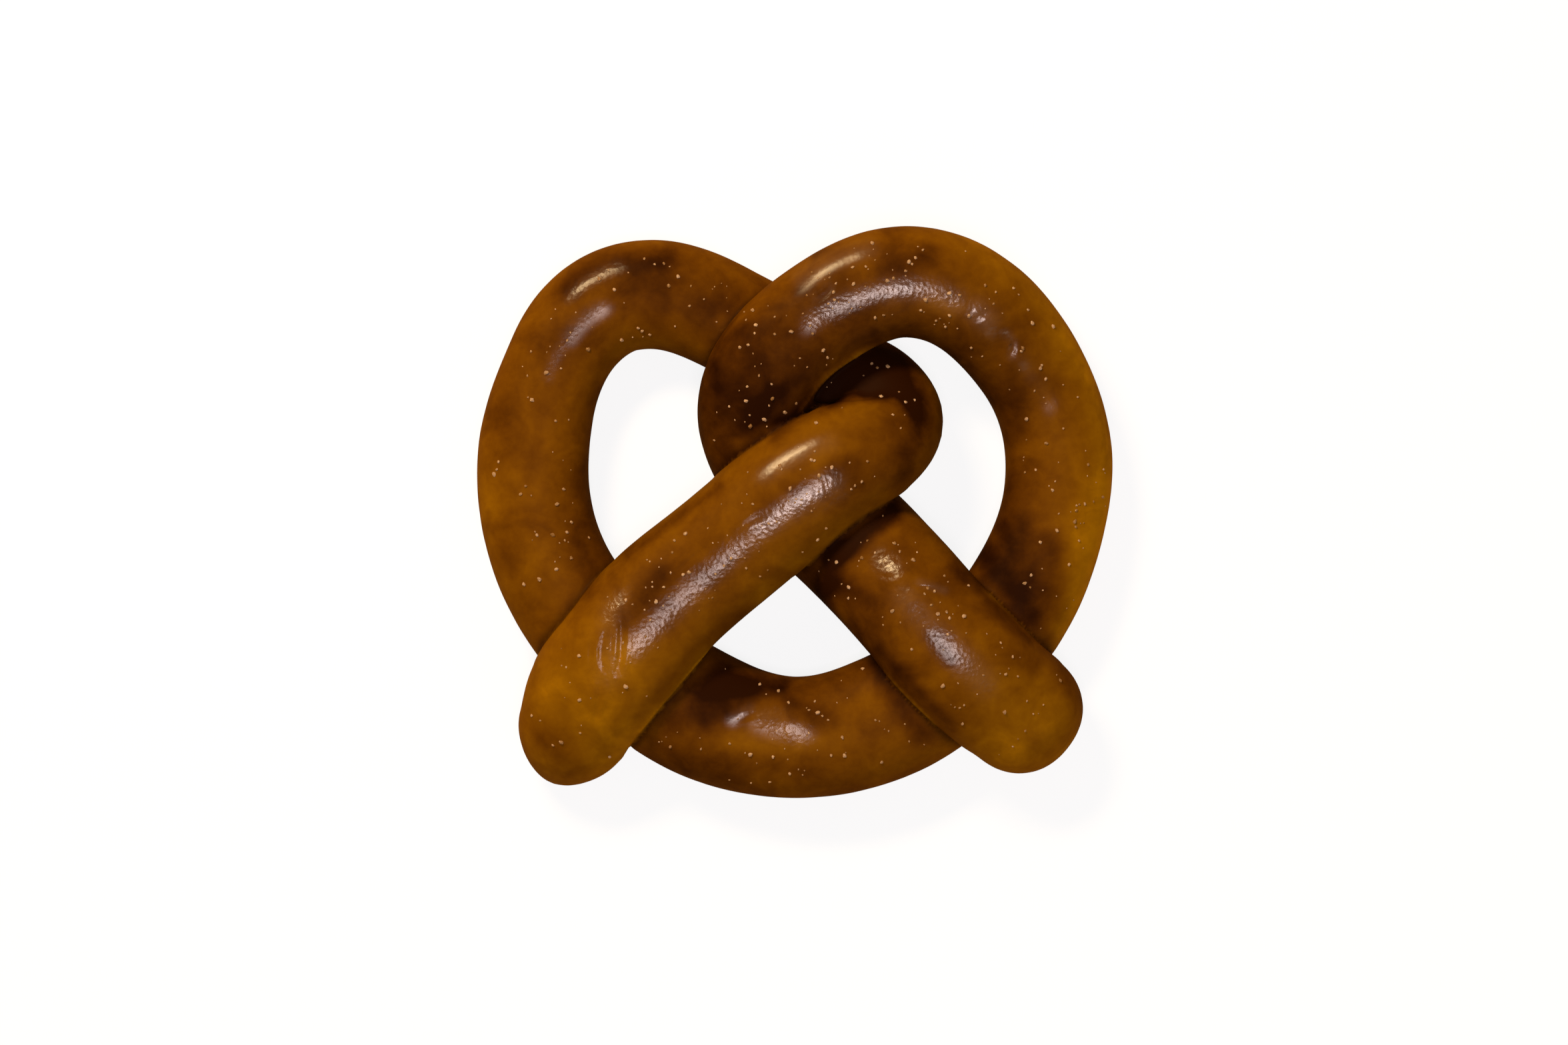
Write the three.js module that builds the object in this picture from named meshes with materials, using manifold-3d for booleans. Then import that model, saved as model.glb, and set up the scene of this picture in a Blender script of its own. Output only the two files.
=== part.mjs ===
// Soft pretzel: one rope of dough, looped into two lobes, twisted once and baked into one solid,
// with the largest of its salt crystals. Millimetres, +Z up. It rests on z = 0, flat where the
// dough lay on the tray, and its footprint is centred on the origin. The rope ends face -Y.

import * as THREE from 'three';
import { mergeVertices } from 'three/addons/utils/BufferGeometryUtils.js';
import Module from 'manifold-3d';

const wasm = await Module();
wasm.setup();

// ---------------------------------------------------------------- driving dimensions

// The rope's centreline from the left arm's tip to the right arm's end, shaped by hand:
// [x, y, rise of the centre above the tray, width of the rope].
const ROUTE = [
  [-44.1, -43.1, 8.8, 22.5],   // 0 tip of the left arm
  [-40.9, -36.6, 12.0, 25.4],  // 1
  [-34.9, -28.5, 15.0, 26.0],  // 2 left arm over the front arc
  [-25.9, -17.8, 15.2, 25.8],  // 3
  [-16.8, -10.0, 15.6, 25.1],  // 4 the arm between its two crossings
  [-7.3, -2.1, 16.6, 25.0],    // 5
  [2.4, 5.9, 17.8, 24.2],      // 6 lower twist: left arm over right arm
  [10.2, 10.5, 17.2, 22.6],    // 7
  [15.9, 13.6, 15.0, 21.6],    // 8
  [18.7, 18.1, 11.0, 21.4],    // 9 tight bend on the right of the twist
  [15.8, 22.7, 7.8, 21.7],     // 10
  [9.2, 26.4, 6.0, 21.5],      // 11
  [-1.7, 32.4, 5.4, 21.5],     // 12 upper twist: under the right lobe's rope
  [-12.6, 38.3, 6.2, 21.5],    // 13
  [-25.6, 43.2, 7.2, 21.8],    // 14 top of the left lobe
  [-36.2, 42.0, 7.2, 21.5],    // 15
  [-43.4, 36.5, 7.2, 21.0],    // 16
  [-48.2, 28.0, 7.2, 20.5],    // 17
  [-51.5, 16.5, 7.2, 21.8],    // 18
  [-52.0, 3.2, 7.2, 22.3],     // 19 outside of the left lobe
  [-47.1, -13.2, 7.0, 23.1],   // 20
  [-35.4, -28.3, 6.6, 24.7],   // 21 under the left arm
  [-18.1, -40.3, 6.9, 25.8],   // 22
  [-0.3, -44.8, 7.2, 24.2],    // 23 middle of the front arc
  [17.7, -40.9, 6.9, 25.2],    // 24
  [35.3, -29.2, 6.6, 23.9],    // 25 under the right arm
  [46.2, -14.5, 7.0, 22.6],    // 26
  [51.2, -1.5, 7.2, 21.3],     // 27
  [52.5, 11.8, 7.2, 21.3],     // 28 outside of the right lobe
  [49.2, 24.3, 8.6, 21.0],     // 29
  [41.8, 35.4, 12.2, 21.8],    // 30
  [31.7, 43.3, 15.6, 22.0],    // 31
  [19.9, 45.4, 16.9, 22.0],    // 32 top of the right lobe
  [8.0, 40.9, 17.0, 21.9],     // 33
  [-2.7, 32.5, 16.8, 21.6],    // 34 upper twist: over the left lobe's rope
  [-8.1, 21.5, 13.2, 22.4],    // 35 tight bend on the left of the twist
  [-3.1, 8.9, 7.6, 24.4],      // 36 lower twist: under the left arm
  [10.4, -4.6, 9.4, 25.7],     // 37
  [24.1, -19.2, 15.4, 25.6],   // 38
  [33.7, -29.9, 16.2, 25.8],   // 39 right arm over the front arc
  [44.3, -39.0, 10.8, 24.9],   // 40 end of the right arm
];
const RISE = 2;
const WIDTH = 3;

// The rope's section is a rounded oval. The wider the dough has spread, the less it is round.
const THICKNESS_AT_NO_WIDTH = 8;
const THICKNESS_PER_WIDTH = 0.41;
const SECTION_FULLNESS = 2.15;    // exponent of the oval: 2 is an ellipse, more is fuller
const TIP_LENGTH = [12.7, 13.2];  // how far the rounded ends reach: left arm, right arm
const TIP_FULLNESS = [1.65, 2.2]; // exponents of their outlines: 2 is round, less is pointed
const PINCH = 0.9;                // how near the inside of a bend comes to the bend's centre
const PINCH_STARTS = 0.55;        // share of that reach from which the dough is squeezed

// The rope is swept in spans that don't cross themselves, named by the stations they join.
const SPAN_STATIONS = [0, 9, 23, 35, 40];
const RING_STEP = 3.5;            // distance between rings on the outside of a bend
const RING_SIDES = 20;
const DOME_RINGS = 5;             // rings in a rounded rope end

// Dough that fills the inside of the two tight bends, where the rope's sides bake together:
// flattened balls, by centre, half width and half height.
const WELDS = [
  { centre: [13.4, 17.8, 10.6], halfWidth: 7.8, halfHeight: 8.2 },
  { centre: [7.2, 22.8, 6.6], halfWidth: 8.6, halfHeight: 6.4 },
  { centre: [5.2, 16.4, 11.5], halfWidth: 6.0, halfHeight: 7.5 },
];
const WELD_SIDES = 16;

const TRAY_SIZE = 400;            // block below z = 0 that cuts the flat base

// Salt crystals baked onto the crust. Each stretch, named by the stations it joins, has its own
// share of them: [from station, to station, crystals for each millimetre of rope].
const SALTED_STRETCHES = [
  [0, 7, 1.0],
  [7, 12, 0.5],
  [12, 20, 0.6],
  [20, 22, 0.3],
  [22, 24, 1.0],
  [24, 27, 0.5],
  [27, 31, 0.8],
  [31, 36, 1.15],
  [36, 40, 1.2],
];
const CRYSTAL_COUNT = 96;         // the largest ones
const CRYSTAL_SEED = 4711;
const CRYSTAL_LENGTH = [1.0, 0.7];   // of the first crystal and of the last
const CRYSTAL_WIDTH = 0.8;        // of its length
const CRYSTAL_HEIGHT = 0.6;       // of its length
const CRYSTAL_SUNK = 0.38;        // share of the height that is baked into the crust
const CRYSTAL_SPREAD = 62;        // degrees from the rope's top to the furthest crystals
const CRYSTAL_LOWEST = 3;         // no crystal sits lower than this above the tray
const CRYSTAL_SPACING = 2.2;      // between the middles of two crystals
const COVER_STEP = 2;             // steps along the rope when looking for what covers a point
const OWN_STRETCH = 26;           // the rope this near along it doesn't cover itself
const COVER_MARGIN = 1.12;        // how near another stretch may come, in its half sizes
const NUDGE = 0.01;               // a small step for measuring the crust's slope
const UP = new THREE.Vector3(0, 0, 1);

const CRUST = new THREE.MeshStandardMaterial({ color: 0x6b3a08, roughness: 0.38, metalness: 0 });

// ---------------------------------------------------------------- the rope's centreline

// Natural cubic spline through one column of values at the given knots.
function naturalSpline(knots, values) {
  const last = knots.length - 1;
  const gap = knots.slice(1).map((knot, i) => knot - knots[i]);
  const slope = gap.map((length, i) => (values[i + 1] - values[i]) / length);
  const second = new Array(last + 1).fill(0);
  const ratio = new Array(last + 1).fill(0);
  for (let i = 1; i < last; i++) {
    const pivot = 2 * (gap[i - 1] + gap[i]) - gap[i - 1] * ratio[i - 1];
    ratio[i] = gap[i] / pivot;
    second[i] = (6 * (slope[i] - slope[i - 1]) - gap[i - 1] * second[i - 1]) / pivot;
  }
  for (let i = last - 1; i > 0; i--) {
    second[i] -= ratio[i] * second[i + 1];
  }
  return (at) => {
    let i = 0;
    while (i < last - 1 && at > knots[i + 1]) {
      i++;
    }
    const t = at - knots[i];
    const first = slope[i] - gap[i] * (2 * second[i] + second[i + 1]) / 6;
    const third = (second[i + 1] - second[i]) / gap[i];
    return {
      value: values[i] + t * (first + t * (second[i] / 2 + t * third / 6)),
      first: first + t * (second[i] + t * third / 2),
      second: second[i] + t * third,
    };
  };
}

// Knots: distance along the straight lines that join the stations, seen from above.
const knots = [0];
for (let i = 1; i < ROUTE.length; i++) {
  const step = Math.hypot(ROUTE[i][0] - ROUTE[i - 1][0], ROUTE[i][1] - ROUTE[i - 1][1]);
  knots.push(knots[i - 1] + step);
}
const ropeEnd = knots[knots.length - 1];
const [routeX, routeY, routeRise, routeWidth] = [0, 1, RISE, WIDTH].map(
  (column) => naturalSpline(knots, ROUTE.map((station) => station[column])));

// Everything about the rope at one place along it. Past either end it runs straight on.
function ropeAt(place) {
  const inside = THREE.MathUtils.clamp(place, 0, ropeEnd);
  const x = routeX(inside);
  const y = routeY(inside);
  const rise = routeRise(inside);
  const width = routeWidth(inside).value;
  const tangent = new THREE.Vector3(x.first, y.first, rise.first).normalize();
  const side = new THREE.Vector3(-y.first, x.first, 0).normalize();
  const up = new THREE.Vector3().crossVectors(tangent, side);
  const centre = new THREE.Vector3(x.value, y.value, rise.value)
    .addScaledVector(tangent, place - inside);
  const bend = (x.first * y.second - y.first * x.second) / Math.hypot(x.first, y.first) ** 3;
  const thickness = THICKNESS_AT_NO_WIDTH + THICKNESS_PER_WIDTH * width;
  return { centre, tangent, side, up, bend, halfWidth: width / 2, halfThickness: thickness / 2 };
}

// Dough on the inside of a bend is squeezed so that it never reaches the bend's centre.
function squeezed(sideways, bend) {
  if (sideways * bend <= 0) {
    return sideways;
  }
  const reach = PINCH / Math.abs(bend);
  const start = PINCH_STARTS * reach;
  const out = Math.abs(sideways);
  if (out <= start) {
    return sideways;
  }
  const room = reach - start;
  return Math.sign(sideways) * (start + room * Math.tanh((out - start) / room));
}

// The crust at an angle round the rope: 0 is its left side, a quarter turn is its top.
function crustPoint(rope, angle, scale = 1) {
  const oval = (share) => Math.sign(share) * Math.abs(share) ** (2 / SECTION_FULLNESS);
  const sideways = oval(Math.cos(angle)) * rope.halfWidth * scale;
  const upwards = oval(Math.sin(angle)) * rope.halfThickness * scale;
  return rope.centre.clone()
    .addScaledVector(rope.side, squeezed(sideways, rope.bend))
    .addScaledVector(rope.up, upwards);
}

// ---------------------------------------------------------------- solids

// One closed mesh: vertices shared, and no triangle that has shrunk to a line.
function solidFrom(geometry) {
  geometry.deleteAttribute('normal');
  geometry.deleteAttribute('uv');
  const merged = mergeVertices(geometry, 1e-4);
  const corners = merged.index.array;
  const faces = [];
  for (let i = 0; i < corners.length; i += 3) {
    const [a, b, c] = [corners[i], corners[i + 1], corners[i + 2]];
    if (a !== b && b !== c && c !== a) {
      faces.push(a, b, c);
    }
  }
  return new wasm.Manifold(new wasm.Mesh({
    numProp: 3,
    vertProperties: new Float32Array(merged.attributes.position.array),
    triVerts: new Uint32Array(faces),
  }));
}

// Places of the rings along a span, closer together where the rope bends.
function ringPlaces(from, to) {
  const places = [from];
  let place = from;
  while (place < to) {
    const rope = ropeAt(place);
    place += RING_STEP / (1 + Math.abs(rope.bend) * rope.halfWidth);
    places.push(place);
  }
  const stretch = (to - from) / (place - from);
  return places.map((raw) => from + (raw - from) * stretch);
}

// The outline of a rounded rope end, as points of share of the section and place along the rope.
function tipOutline(place, direction, length, fullness) {
  return Array.from({ length: DOME_RINGS }, (_, i) => {
    const reach = Math.sin((i + 1) / DOME_RINGS * Math.PI / 2);
    const share = (1 - reach ** fullness) ** (1 / fullness);
    return new THREE.Vector2(share, place + direction * length * reach);
  });
}

// A span of the rope: a lathed bar whose rings are then laid along the route. The bar's axis
// carries the place along the rope, and its radius the share of the section that is filled.
function ropeSpan(from, to, startOutline, endOutline) {
  const rings = ringPlaces(from, to).map((place) => new THREE.Vector2(1, place));
  const bar = new THREE.LatheGeometry([...startOutline, ...rings, ...endOutline], RING_SIDES);
  const position = bar.attributes.position;
  const vertex = new THREE.Vector3();
  for (let i = 0; i < position.count; i++) {
    vertex.fromBufferAttribute(position, i);
    const share = Math.hypot(vertex.x, vertex.z);
    const angle = Math.atan2(vertex.z, -vertex.x);
    position.setXYZ(i, ...crustPoint(ropeAt(vertex.y), angle, share));
  }
  return solidFrom(bar);
}

function weld({ centre, halfWidth, halfHeight }) {
  const ball = new THREE.SphereGeometry(1, WELD_SIDES, WELD_SIDES / 2);
  ball.rotateX(Math.PI / 2);
  ball.scale(halfWidth, halfWidth, halfHeight);
  ball.translate(...centre);
  return solidFrom(ball);
}

let pretzel = null;
for (let i = 1; i < SPAN_STATIONS.length; i++) {
  const from = knots[SPAN_STATIONS[i - 1]];
  const to = knots[SPAN_STATIONS[i]];
  const isFirst = i === 1;
  const isLast = i === SPAN_STATIONS.length - 1;
  const start = isFirst
    ? tipOutline(from, -1, TIP_LENGTH[0], TIP_FULLNESS[0]).reverse()
    : [new THREE.Vector2(0, from)];
  const end = isLast
    ? tipOutline(to, 1, TIP_LENGTH[1], TIP_FULLNESS[1])
    : [new THREE.Vector2(0, to)];
  const span = ropeSpan(from, to, start, end);
  pretzel = isFirst ? span : pretzel.add(span);
}
for (const place of WELDS) {
  pretzel = pretzel.add(weld(place));
}
const tray = new THREE.BoxGeometry(TRAY_SIZE, TRAY_SIZE, TRAY_SIZE).translate(0, 0, -TRAY_SIZE / 2);
pretzel = pretzel.subtract(solidFrom(tray));

// ---------------------------------------------------------------- salt crystals

// Repeatable draws between 0 and 1.
let draw = CRYSTAL_SEED;
function random() {
  draw = (draw * 16807) % 2147483647;
  return draw / 2147483647;
}

// A place along the rope, drawn by how thickly each stretch is salted.
function saltedPlace() {
  const weights = SALTED_STRETCHES.map(([from, to, share]) => share * (knots[to] - knots[from]));
  let left = random() * weights.reduce((sum, weight) => sum + weight);
  let i = 0;
  while (i < weights.length - 1 && left > weights[i]) {
    left -= weights[i];
    i++;
  }
  const [from, , share] = SALTED_STRETCHES[i];
  return knots[from] + left / share;
}

// Is this point of the crust covered by another stretch of the rope?
function covered(point, ownPlace) {
  for (let place = 0; place <= ropeEnd; place += COVER_STEP) {
    const rope = ropeAt(place);
    const apart = point.clone().sub(rope.centre);
    const level = Math.hypot(apart.dot(rope.side), apart.dot(rope.tangent)) / rope.halfWidth;
    const reach = Math.hypot(level, apart.dot(rope.up) / rope.halfThickness);
    if (Math.abs(place - ownPlace) > OWN_STRETCH && reach < COVER_MARGIN) {
      return true;
    }
  }
  return false;
}

function crystal(place, angle, length, turn) {
  const rope = ropeAt(place);
  const spot = crustPoint(rope, angle);
  const round = crustPoint(rope, angle - NUDGE).sub(crustPoint(rope, angle + NUDGE));
  const onward = crustPoint(ropeAt(place + NUDGE), angle).sub(spot);
  const normal = round.cross(onward).normalize();
  const height = CRYSTAL_HEIGHT * length;
  const grain = new THREE.IcosahedronGeometry(1, 0);
  grain.scale(length / 2, CRYSTAL_WIDTH * length / 2, height / 2);
  grain.rotateZ(turn);
  grain.applyQuaternion(new THREE.Quaternion().setFromUnitVectors(UP, normal));
  grain.translate(...spot.addScaledVector(normal, (0.5 - CRYSTAL_SUNK) * height));
  return solidFrom(grain);
}

const saltedSpots = [];
while (saltedSpots.length < CRYSTAL_COUNT) {
  const place = saltedPlace();
  const lean = THREE.MathUtils.degToRad(CRYSTAL_SPREAD) * (random() + random() - 1);
  const angle = Math.PI / 2 + lean;
  const turn = random() * Math.PI;
  const spot = crustPoint(ropeAt(place), angle);
  const crowded = saltedSpots.some((other) => other.distanceTo(spot) < CRYSTAL_SPACING);
  if (spot.z < CRYSTAL_LOWEST || crowded || covered(spot, place)) {
    continue;
  }
  const length = THREE.MathUtils.lerp(...CRYSTAL_LENGTH, saltedSpots.length / CRYSTAL_COUNT);
  saltedSpots.push(spot);
  pretzel = pretzel.add(crystal(place, angle, length, turn));
}

// ---------------------------------------------------------------- the finished mesh

// Fusing can leave a crumb behind, so the largest body is kept.
const [largest] = pretzel.decompose().sort((a, b) => b.volume() - a.volume());
const baked = largest.getMesh();
const geometry = new THREE.BufferGeometry();
geometry.setAttribute('position', new THREE.BufferAttribute(baked.vertProperties, 3));
geometry.setIndex(new THREE.BufferAttribute(baked.triVerts, 1));
geometry.computeVertexNormals();

const mesh = new THREE.Mesh(geometry, CRUST);
mesh.name = 'pretzel';

const group = new THREE.Group();
group.add(mesh);

export default group;
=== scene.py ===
"""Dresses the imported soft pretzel: a fine baked crust and all of its salt crystals.

Lengths in the tables are millimetres, which MM turns into metres. The rope, its stations and the
rule that scatters the crystals are those of the solid, so every piece sits where the solid does.
"""

import math
from types import SimpleNamespace

import bmesh
import bpy
import numpy as np
from bpy.props import FloatProperty, FloatVectorProperty, IntProperty, PointerProperty
from mathutils import Matrix, Vector, bvhtree, noise


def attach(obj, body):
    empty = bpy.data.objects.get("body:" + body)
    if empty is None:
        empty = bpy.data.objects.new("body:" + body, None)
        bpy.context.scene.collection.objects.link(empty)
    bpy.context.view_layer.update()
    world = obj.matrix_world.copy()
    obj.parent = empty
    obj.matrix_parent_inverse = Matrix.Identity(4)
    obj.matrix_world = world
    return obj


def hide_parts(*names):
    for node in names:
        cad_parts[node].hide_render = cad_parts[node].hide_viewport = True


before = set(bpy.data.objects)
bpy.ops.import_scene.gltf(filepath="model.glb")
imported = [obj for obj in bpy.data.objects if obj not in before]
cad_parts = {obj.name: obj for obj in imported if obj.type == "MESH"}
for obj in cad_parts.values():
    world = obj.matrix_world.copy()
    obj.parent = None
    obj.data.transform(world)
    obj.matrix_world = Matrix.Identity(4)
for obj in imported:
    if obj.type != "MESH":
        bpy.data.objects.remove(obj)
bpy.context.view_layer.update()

bl_info = {
    "name": "Soft Pretzel",
    "version": (1, 0, 0),
    "blender": (4, 5, 0),
    "location": "3D Viewport > Sidebar > Pretzel",
    "description": "A baked soft pretzel with a glossy crust and salt crystals",
    "category": "Add Mesh",
}

MM = 0.001

# ---- the rope of dough

# Centreline from the left arm's tip to the right arm's end: x, y, rise of the centre, width.
ROUTE = np.array([
    (-44.1, -43.1, 8.8, 22.5),  # 0 tip of the left arm
    (-40.9, -36.6, 12.0, 25.4),
    (-34.9, -28.5, 15.0, 26.0),  # 2 left arm over the front arc
    (-25.9, -17.8, 15.2, 25.8),
    (-16.8, -10.0, 15.6, 25.1),
    (-7.3, -2.1, 16.6, 25.0),
    (2.4, 5.9, 17.8, 24.2),  # 6 lower twist: left arm over right arm
    (10.2, 10.5, 17.2, 22.6),
    (15.9, 13.6, 15.0, 21.6),
    (18.7, 18.1, 11.0, 21.4),  # 9 tight bend on the right of the twist
    (15.8, 22.7, 7.8, 21.7),
    (9.2, 26.4, 6.0, 21.5),
    (-1.7, 32.4, 5.4, 21.5),  # 12 upper twist: under the right lobe's rope
    (-12.6, 38.3, 6.2, 21.5),
    (-25.6, 43.2, 7.2, 21.8),  # 14 top of the left lobe
    (-36.2, 42.0, 7.2, 21.5),
    (-43.4, 36.5, 7.2, 21.0),
    (-48.2, 28.0, 7.2, 20.5),
    (-51.5, 16.5, 7.2, 21.8),
    (-52.0, 3.2, 7.2, 22.3),  # 19 outside of the left lobe
    (-47.1, -13.2, 7.0, 23.1),
    (-35.4, -28.3, 6.6, 24.7),  # 21 under the left arm
    (-18.1, -40.3, 6.9, 25.8),
    (-0.3, -44.8, 7.2, 24.2),  # 23 middle of the front arc
    (17.7, -40.9, 6.9, 25.2),
    (35.3, -29.2, 6.6, 23.9),  # 25 under the right arm
    (46.2, -14.5, 7.0, 22.6),
    (51.2, -1.5, 7.2, 21.3),
    (52.5, 11.8, 7.2, 21.3),  # 28 outside of the right lobe
    (49.2, 24.3, 8.6, 21.0),
    (41.8, 35.4, 12.2, 21.8),
    (31.7, 43.3, 15.6, 22.0),
    (19.9, 45.4, 16.9, 22.0),  # 32 top of the right lobe
    (8.0, 40.9, 17.0, 21.9),
    (-2.7, 32.5, 16.8, 21.6),  # 34 upper twist: over the left lobe's rope
    (-8.1, 21.5, 13.2, 22.4),  # 35 tight bend on the left of the twist
    (-3.1, 8.9, 7.6, 24.4),  # 36 lower twist: under the left arm
    (10.4, -4.6, 9.4, 25.7),
    (24.1, -19.2, 15.4, 25.6),
    (33.7, -29.9, 16.2, 25.8),  # 39 right arm over the front arc
    (44.3, -39.0, 10.8, 24.9),  # 40 end of the right arm
]) * MM

THICKNESS_AT_NO_WIDTH = 8 * MM
THICKNESS_PER_WIDTH = 0.41
SECTION_FULLNESS = 2.15  # exponent of the oval section
TIP_LENGTH = (12.7 * MM, 13.2 * MM)
TIP_FULLNESS = (1.65, 2.2)  # exponents of the rounded ends' outlines
PINCH = 0.9  # how near the inside of a bend comes to the bend's centre
PINCH_STARTS = 0.55  # share of that reach from which the dough is squeezed

SPAN_STATIONS = (0, 9, 23, 35, 40)  # the rope is made in spans between these
RING_STEP = 0.8 * MM
RING_SIDES = 96
DOME_RINGS = 16
BALL_SIDES = 48
RELAX_ROUNDS = 5
RELAX_PULL = 0.5
RELAX_PUSH = -0.53
FEWEST_POINTS = 1000  # a skin with fewer has gone wrong

# Dough in the two tight bends: centre, half width, half height.
WELDS = (
    ((13.4, 17.8, 10.6), 7.8, 8.2),
    ((7.2, 22.8, 6.6), 8.6, 6.4),
    ((5.2, 16.4, 11.5), 6.0, 7.5),
)

OWN_STRETCH = 26 * MM  # the rope this near along it is the same stretch
NEAREST_STEP = 0.5 * MM  # between the centres that a point of the crust is held against
NEAREST_BATCH = 1500  # points at a time, to spare memory
LEAST_BEND = 1e-9  # a straighter rope counts as bent this much
NOISE_SHIFT = (3.7, 1.3, 7.1)  # per seed, so that noises differ

# ---- the crust's relief, and its baking with painted shade and light

# How dark the crust is, 0 gold to 1 nearly black: station, left side, top, right side. Besides
# its baking this holds painted shade and light: stretches shaded by other ropes are painted
# darker, and sides are set darker or lighter for how the light falls on them.
BAKE_AND_SHADE = np.array([
    (0, 0.40, 0.30, 0.20),
    (1, 0.30, 0.24, 0.22),
    (2, 0.34, 0.34, 0.20),
    (3, 0.46, 0.62, 0.36),
    (4, 0.44, 0.49, 0.36),
    (6, 0.42, 0.54, 0.32),
    (7, 0.24, 0.62, 0.52),
    (8, 0.30, 0.60, 0.54),
    (9, 0.46, 0.60, 0.50),
    (10, 0.60, 0.64, 0.52),
    (12, 0.75, 0.80, 0.56),
    (13, 0.66, 0.80, 0.50),
    (14, 0.40, 0.72, 0.42),
    (15, 0.36, 0.62, 0.46),
    (16, 0.42, 0.62, 0.40),
    (17, 0.54, 0.58, 0.42),
    (18, 0.60, 0.48, 0.44),
    (19, 0.64, 0.44, 0.38),
    (20, 0.72, 0.48, 0.34),
    (21, 0.78, 0.54, 0.48),
    (22, 0.62, 0.53, 0.58),
    (23, 0.54, 0.54, 0.58),
    (24, 0.70, 0.46, 0.48),
    (25, 0.68, 0.48, 0.34),
    (26, 0.62, 0.44, 0.06),
    (27, 0.66, 0.38, 0.02),
    (28, 0.72, 0.38, 0.08),
    (29, 0.76, 0.52, 0.12),
    (30, 0.70, 0.60, 0.10),
    (31, 0.70, 0.54, 0.28),
    (32, 0.78, 0.58, 0.54),
    (33, 0.80, 0.64, 0.42),
    (34, 0.86, 0.76, 0.60),
    (35, 0.98, 0.92, 0.78),
    (36, 0.98, 0.94, 0.74),
    (37, 0.60, 0.54, 0.70),
    (38, 0.56, 0.52, 0.74),
    (39, 0.56, 0.38, 0.54),
    (40, 0.50, 0.23, 0.22),
])
BAKE_AND_SHADE_SIDE = 0.92  # how far out, of the half width, the crust is at its side's value
BAKE_AND_SHADE_BLEND = 1.6  # exponent of the change from the top to there
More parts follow.
